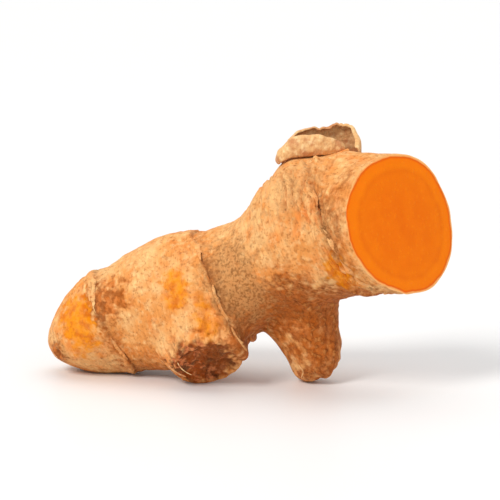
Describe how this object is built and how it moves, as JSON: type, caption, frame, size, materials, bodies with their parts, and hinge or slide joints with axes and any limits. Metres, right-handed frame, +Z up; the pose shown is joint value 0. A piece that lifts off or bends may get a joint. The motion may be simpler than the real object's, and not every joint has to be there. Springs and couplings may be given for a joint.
{
  "type": "turmeric root",
  "caption": "Piece of fresh turmeric root lying on a surface, with a rounded tail, leaf-scar rings, short side buds and one end cut across to show its flesh.",
  "frame": {"origin": "on the surface that the root lies on, below the middle of its bounding box", "axes": "+X along the root from its rounded tail to its cut end, +Z up, -Y towards the side that the cut face is turned to"},
  "size_m": [0.0796, 0.0294, 0.05],
  "materials": {
    "turmeric_skin": "matt, thin pale tan skin with orange-brown specks, leaf-scar rings and rubbed orange patches"
  },
  "bodies": {
    "root": {"turmeric_root": "turmeric_skin"}
  },
  "joints": []
}
